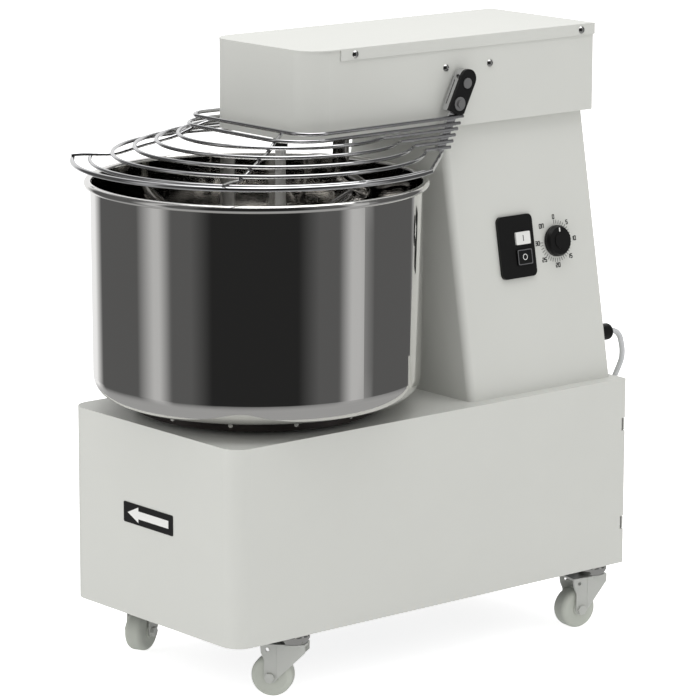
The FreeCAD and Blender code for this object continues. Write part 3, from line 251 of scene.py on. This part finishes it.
def side_matrix(y, level, lift=0.0):
    """A place on the column's right face: local x to the rear, y up the slope, z outward."""
    outward = Vector((math.cos(LEAN), 0, math.sin(LEAN)))
    upward = Vector((-math.sin(LEAN), 0, math.cos(LEAN)))
    slope = math.tan(LEAN)
    point = Vector((COLUMN_FOOT - slope * (level - BASE_TOP), y, level)) + outward * lift
    axes = Matrix((Vector((0, 1, 0)), upward, outward)).transposed().to_4x4()
    return Matrix.Translation(point) @ axes


# ---------------------------------------------------------------- printing on the column

SEGMENTS = {
    "0": "abcdef", "1": "bc", "2": "abged", "3": "abgcd", "5": "afgcd", "O": "abcdef", "N": "feabc",
}


# Thickness of the printed dial, of the button and label marks, and of the knob's mark.
DIAL_INK = 0.00012
MARK_INK = 0.00015
POINTER_INK = 0.0002


def add_figure(bm, figure, centre, height, matrix):
    """A digit or letter drawn with up to seven straight strokes."""
    width = height * 0.55
    stroke = height * 0.17
    half = height / 2
    places = {
        "a": (0, half, width, stroke), "g": (0, 0, width, stroke), "d": (0, -half, width, stroke),
        "f": (-width / 2, half / 2, stroke, half), "b": (width / 2, half / 2, stroke, half),
        "e": (-width / 2, -half / 2, stroke, half), "c": (width / 2, -half / 2, stroke, half),
    }
    for name in SEGMENTS[figure]:
        x, y, w, h = places[name]
        place = (centre[0] + x, centre[1] + y)
        outline = rounded(w + stroke * 0.4, h + stroke * 0.4, stroke * 0.2, place, steps=2)
        add_prism(bm, outline, 0, DIAL_INK, matrix)


def add_word(bm, word, centre, height, matrix):
    """Figures side by side, centred on one point."""
    pitch = height * 0.86
    start = centre[0] - pitch * (len(word) - 1) / 2
    for i, figure in enumerate(word):
        add_figure(bm, figure, (start + i * pitch, centre[1]), height, matrix)


# The knob and the buttons on the column's side: place along Y and level, in metres.
KNOB_PLACE = (0.2346, 0.4142)
START_PLACE = (0.1763, 0.424)
STOP_PLACE = (0.1763, 0.401)
DIAL_LIFT = 0.0001
KNOB_LIFT = 0.0095
BUTTON_LIFT = 0.006

TICKS = 31
TICK_STEP = 9
TICK_HALF = 0.0003
TICK_START = 0.0215
TICK_END = 0.0262
FIGURES = ("0", "5", "10", "15", "20", "25", "30")
FIGURE_STEP = 45
FIGURE_REACH = (0.0305, 0.0300)
FIGURE_HEIGHT = 0.0048
ON_CENTRE = (-0.0212, 0.0205)
ON_HEIGHT = 0.0050


def timer_dial():
    """Minute figures and ticks printed round the knob, clockwise from the top."""
    matrix = side_matrix(*KNOB_PLACE, DIAL_LIFT)
    tick = [(TICK_START, -TICK_HALF), (TICK_END, -TICK_HALF), (TICK_END, TICK_HALF),
            (TICK_START, TICK_HALF)]

    def build(bm):
        for i in range(TICKS):
            angle = math.pi / 2 - math.radians(TICK_STEP * i)
            turn = Matrix.Rotation(angle, 4, "Z")
            add_prism(bm, tick, 0, DIAL_INK, matrix @ turn)
        for i, word in enumerate(FIGURES):
            angle = math.pi / 2 - math.radians(FIGURE_STEP * i)
            centre = (FIGURE_REACH[0] * math.cos(angle), FIGURE_REACH[1] * math.sin(angle))
            add_word(bm, word, centre, FIGURE_HEIGHT, matrix)
        add_word(bm, "ON", ON_CENTRE, ON_HEIGHT, matrix)

    mesh_object("timer_dial_print", build, INK_DARK, "machine")


def knob_pointer():
    """White mark on the knob's face and a raised black cap over its middle."""
    matrix = side_matrix(*KNOB_PLACE, KNOB_LIFT)
    mark_outline = rounded(width=0.0018, height=0.0050, radius=0.0006, centre=(0.0, 0.0135))
    cap_radius, cap_height = 0.0095, 0.0010

    def mark(bm):
        add_prism(bm, mark_outline, 0, POINTER_INK, matrix)

    def cap(bm):
        add_prism(bm, circle(cap_radius, 40), 0, cap_height, matrix)

    mesh_object("knob_pointer", mark, INK_WHITE, "timer_knob_body")
    mesh_object("knob_cap", cap, MATERIALS["black_plastic"], "timer_knob_body")


def button_marks():
    """I on the start button and O on the stop button, inside a thin frame."""
    start = side_matrix(*START_PLACE, BUTTON_LIFT)
    stop = side_matrix(*STOP_PLACE, BUTTON_LIFT)
    border_height = 0.0004

    def bar(bm):
        add_prism(bm, rounded(width=0.0011, height=0.0075, radius=0.0004), 0, MARK_INK, start)

    def ring(bm):
        add_band(bm, circle(0.0038, 40), circle(0.0030, 40), MARK_INK, stop)

    def border(bm):
        outer = rounded(width=0.0236, height=0.0186, radius=0.0016)
        inner = rounded(width=0.0214, height=0.0164, radius=0.0012)
        add_band(bm, outer, inner, border_height, stop)

    mesh_object("start_mark", bar, INK_DARK, "start_button_body")
    mesh_object("stop_mark", ring, INK_WHITE, "stop_button_body")
    mesh_object("stop_border", border, FRAME_GREY, "stop_button_body")


# ---------------------------------------------------------------- label on the base

# The label's middle, and how far its face stands out from the base front.
LABEL_X = -0.005
LABEL_LEVEL = 0.1267
LABEL_FACE = 0.0006


def direction_arrow():
    """White arrow on the black label, pointing to the operator's left."""
    axes = Matrix(((1, 0, 0), (0, 0, -1), (0, 1, 0))).to_4x4()
    matrix = Matrix.Translation((LABEL_X, BASE_FRONT - LABEL_FACE, LABEL_LEVEL)) @ axes
    tip, neck, tail = -0.0400, -0.0190, 0.0395
    barb, shaft = 0.0095, 0.0048
    outline = [(tip, 0), (neck, barb), (neck, shaft), (tail, shaft), (tail, -shaft),
               (neck, -shaft), (neck, -barb)]

    def arrow(bm):
        add_prism(bm, outline[::-1], 0, MARK_INK, matrix)

    mesh_object("arrow_print", arrow, INK_WHITE, "machine")


# ---------------------------------------------------------------- small hardware

RIVETS = 12
FIRST_RIVET = 0.3
RIVET_CENTRE = Vector((0, -0.150, 0.2505))
RIVET_REACH = 0.148


def turntable_rivets():
    """Bright rivet heads round the turntable's edge."""
    def build(bm):
        for i in range(RIVETS):
            angle = 2 * math.pi * (i + FIRST_RIVET) / RIVETS
            out = Vector((math.cos(angle), math.sin(angle), 0))
            place = RIVET_CENTRE + out * RIVET_REACH
            turn = out.to_track_quat("Z", "Y").to_matrix().to_4x4()
            head = circle(0.0028, 16)
            add_prism(bm, head, -0.0005, 0.0012, Matrix.Translation(place) @ turn)

    mesh_object("turntable_rivets", build, RIVET, "bowl_group")


# ---------------------------------------------------------------- stage, light and camera

def studio_floor():
    """Pale plane under the casters."""
    def build(bm):
        bmesh.ops.create_grid(bm, x_segments=1, y_segments=1, size=30)

    floor = mesh_object("floor", build, floor_material(), None)
    floor.location = (0, 0, FLOOR)
    floor.visible_glossy = False


# The floor's own glow as paint and metal receive it, and as the camera sees it.
GLOW_ON_OBJECT = 0.30
GLOW_IN_VIEW = 0.78


def floor_material():
    """White floor that the camera sees as white and that takes a faint shadow."""
    material, tree, shader = new_material("floor_white")
    shader.inputs["Base Color"].default_value = (0.9, 0.9, 0.9, 1)
    shader.inputs["Roughness"].default_value = 0.9
    shader.inputs["Specular IOR Level"].default_value = 0.0
    shader.inputs["Emission Color"].default_value = (1, 1, 1, 1)
    rays = tree.nodes.new("ShaderNodeLightPath")
    glow = tree.nodes.new("ShaderNodeMapRange")
    glow.inputs["To Min"].default_value = GLOW_ON_OBJECT
    glow.inputs["To Max"].default_value = GLOW_IN_VIEW
    tree.links.new(rays.outputs["Is Camera Ray"], glow.inputs["Value"])
    tree.links.new(glow.outputs["Result"], shader.inputs["Emission Strength"])
    return material


# Tone, size and fade of a glowing grey disc that paints a reflection onto the polished metal; there
# is no real paper under the machine.
REFLECTION_GLOW_GREY = (0.35, 0.35, 0.35)
REFLECTION_GLOW_RADIUS = 1.7
REFLECTION_GLOW_THICKNESS = 0.001
FADE_START = 0.7
FADE_END = 1.35


def reflection_glow_sheet():
    """A round glowing grey disc under the machine that only the polished metal shows: a painted
    reflection for the metal, not a real sheet of paper.
    """
    material, tree, shader = new_material("reflection_glow")
    place = tree.nodes.new("ShaderNodeTexCoord")
    reach = tree.nodes.new("ShaderNodeVectorMath")
    reach.operation = "LENGTH"
    fade = tree.nodes.new("ShaderNodeMapRange")
    fade.inputs["From Min"].default_value = FADE_START
    fade.inputs["From Max"].default_value = FADE_END
    fade.inputs["To Min"].default_value = 1
    fade.inputs["To Max"].default_value = 0
    tree.links.new(place.outputs["Object"], reach.inputs[0])
    tree.links.new(reach.outputs["Value"], fade.inputs["Value"])
    tree.links.new(fade.outputs["Result"], shader.inputs["Alpha"])
    # The disc's grey is emitted light, a painted reflection, not paint lit by the lamps.
    shader.inputs["Base Color"].default_value = (0, 0, 0, 1)
    shader.inputs["Specular IOR Level"].default_value = 0
    shader.inputs["Emission Color"].default_value = (*REFLECTION_GLOW_GREY, 1)
    shader.inputs["Emission Strength"].default_value = 1

    def build(bm):
        add_prism(bm, circle(REFLECTION_GLOW_RADIUS, 64), 0, REFLECTION_GLOW_THICKNESS)

    sheet = mesh_object("reflection_glow_sheet", build, material, None)
    sheet.location = (0, 0, FLOOR + REFLECTION_GLOW_THICKNESS)
    sheet.visible_camera = False
    sheet.visible_diffuse = False
    sheet.visible_shadow = False


# Plain grey studio cards that the polished metal reflects, the same on the left and the right:
# first and last azimuth from the camera's direction in degrees, negative to the left, and a tone.
WHITE_CARD = (0.90, 0.90, 0.90)
GREY_PANEL = (0.10, 0.10, 0.10)
LIGHT_STRIP = (0.50, 0.50, 0.50)
BLACK_CURTAIN = (0.02, 0.02, 0.02)
CARDS = (
    (-180, -150, WHITE_CARD),
    (-135, -90, GREY_PANEL),
    (-75, -70, LIGHT_STRIP),
    (-60, -45, GREY_PANEL),
    (-30, 30, BLACK_CURTAIN),
    (45, 60, GREY_PANEL),
    (70, 75, LIGHT_STRIP),
    (90, 135, GREY_PANEL),
    (150, 180, WHITE_CARD),
)

# How far the overhead tone replaces the cards, from straight down (0) to straight up (1).
CEILING = [(0.0, (0.2,) * 3), (0.20, (0.0,) * 3), (0.85, (0.0,) * 3), (1.0, (0.6,) * 3)]
CEILING_TONE = (0.9, 0.9, 0.9)
SOFT_LIGHT = (1, 1, 0.99)
SOFT_STRENGTH = 0.80


def world_light():
    """White for the camera, even soft light on paint, studio cards in reflections."""
    world = bpy.data.worlds.new("studio")
    bpy.context.scene.world = world
    world.use_nodes = True
    tree = world.node_tree
    tree.nodes.clear()
    new, link = tree.nodes.new, tree.links.new
    output = new("ShaderNodeOutputWorld")
    rays = new("ShaderNodeLightPath")
    place = new("ShaderNodeTexCoord")
    split = new("ShaderNodeSeparateXYZ")
    turn = new("ShaderNodeVectorRotate")
    turn.rotation_type = "Z_AXIS"
    turn.inputs["Angle"].default_value = math.radians(90 - CAMERA_AZIMUTH)
    link(place.outputs["Generated"], turn.inputs["Vector"])
    link(turn.outputs["Vector"], split.inputs["Vector"])
    angle = new("ShaderNodeMath")
    angle.operation = "ARCTAN2"
    link(split.outputs["Y"], angle.inputs[0])
    link(split.outputs["X"], angle.inputs[1])
    span = new("ShaderNodeMapRange")
    span.inputs["From Min"].default_value = -math.pi
    span.inputs["From Max"].default_value = math.pi
    link(angle.outputs[0], span.inputs["Value"])
    ramp = new("ShaderNodeValToRGB")
    edges = [(edge, colour) for first, last, colour in CARDS for edge in (first, last)]
    fill_ramp(ramp, [((edge + 180) / 360, colour) for edge, colour in edges])
    link(span.outputs["Result"], ramp.inputs["Fac"])
    height = new("ShaderNodeValToRGB")
    fill_ramp(height, CEILING)
    level = new("ShaderNodeMapRange")
    level.inputs["From Min"].default_value = -1
    level.inputs["From Max"].default_value = 1
    link(split.outputs["Z"], level.inputs["Value"])
    link(level.outputs["Result"], height.inputs["Fac"])
    mix = new("ShaderNodeMix")
    mix.data_type = "RGBA"
    mix.inputs["B"].default_value = (*CEILING_TONE, 1)
    link(height.outputs["Color"], mix.inputs["Factor"])
    link(ramp.outputs["Color"], mix.inputs["A"])
    cards = new("ShaderNodeBackground")
    link(mix.outputs["Result"], cards.inputs["Color"])
    soft = new("ShaderNodeBackground")
    soft.inputs["Color"].default_value = (*SOFT_LIGHT, 1)
    soft.inputs["Strength"].default_value = SOFT_STRENGTH
    white = new("ShaderNodeBackground")
    white.inputs["Strength"].default_value = 1.0
    white.inputs["Color"].default_value = (*WHITE, 1)
    glossy = new("ShaderNodeMixShader")
    link(rays.outputs["Is Glossy Ray"], glossy.inputs["Fac"])
    link(soft.outputs["Background"], glossy.inputs[1])
    link(cards.outputs["Background"], glossy.inputs[2])
    seen = new("ShaderNodeMixShader")
    link(rays.outputs["Is Camera Ray"], seen.inputs["Fac"])
    link(glossy.outputs["Shader"], seen.inputs[1])
    link(white.outputs["Background"], seen.inputs[2])
    link(seen.outputs["Shader"], output.inputs["Surface"])


def fill_ramp(node, stops):
    """Set a colour ramp's stops in order."""
    ramp = node.color_ramp
    ramp.elements[0].position = stops[0][0]
    ramp.elements[0].color = (*stops[0][1], 1)
    ramp.elements[1].position = stops[-1][0]
    ramp.elements[1].color = (*stops[-1][1], 1)
    for position, colour in stops[1:-1]:
        ramp.elements.new(position).color = (*colour, 1)


def area_light(name, place, target, width, power, reflected):
    """A square lamp aimed at a point. Polished metal shows it only if it is reflected."""
    data = bpy.data.lights.new(name, "AREA")
    data.shape = "SQUARE"
    data.size = width
    data.energy = power
    light = bpy.data.objects.new(name, data)
    light.location = place
    light.rotation_mode = "QUATERNION"
    light.rotation_quaternion = (Vector(target) - Vector(place)).to_track_quat("-Z", "Y")
    light.visible_glossy = reflected
    bpy.context.collection.objects.link(light)


def lights():
    """Soft top light, with a weaker front fill."""
    area_light("top_light", (0.1, 0.0, 2.0), (0, 0, 0.4), width=1.6, power=16, reflected=True)
    area_light("front_fill", (-0.8, -3.0, 1.4), (0, -0.2, 0.6), width=1.6, power=12,
               reflected=False)


def camera():
    """Long lens at the viewing angle, rolled a touch."""
    azimuth = math.radians(CAMERA_AZIMUTH)
    elevation = math.radians(CAMERA_ELEVATION)
    back = Vector((math.sin(azimuth) * math.cos(elevation),
                   -math.cos(azimuth) * math.cos(elevation),
                   math.sin(elevation)))
    data = bpy.data.cameras.new("camera")
    data.lens = CAMERA_LENS
    data.sensor_width = CAMERA_SENSOR
    obj = bpy.data.objects.new("camera", data)
    obj.location = CAMERA_PLACE
    obj.rotation_mode = "QUATERNION"
    level = (-back).to_track_quat("-Z", "Y")
    obj.rotation_quaternion = level @ Quaternion((0, 0, 1), math.radians(CAMERA_ROLL))
    bpy.context.collection.objects.link(obj)
    bpy.context.scene.camera = obj


dress_cad()
timer_dial()
knob_pointer()
button_marks()
direction_arrow()
turntable_rivets()
studio_floor()
reflection_glow_sheet()
world_light()
lights()
camera()
bpy.context.scene.view_settings.view_transform = "Standard"
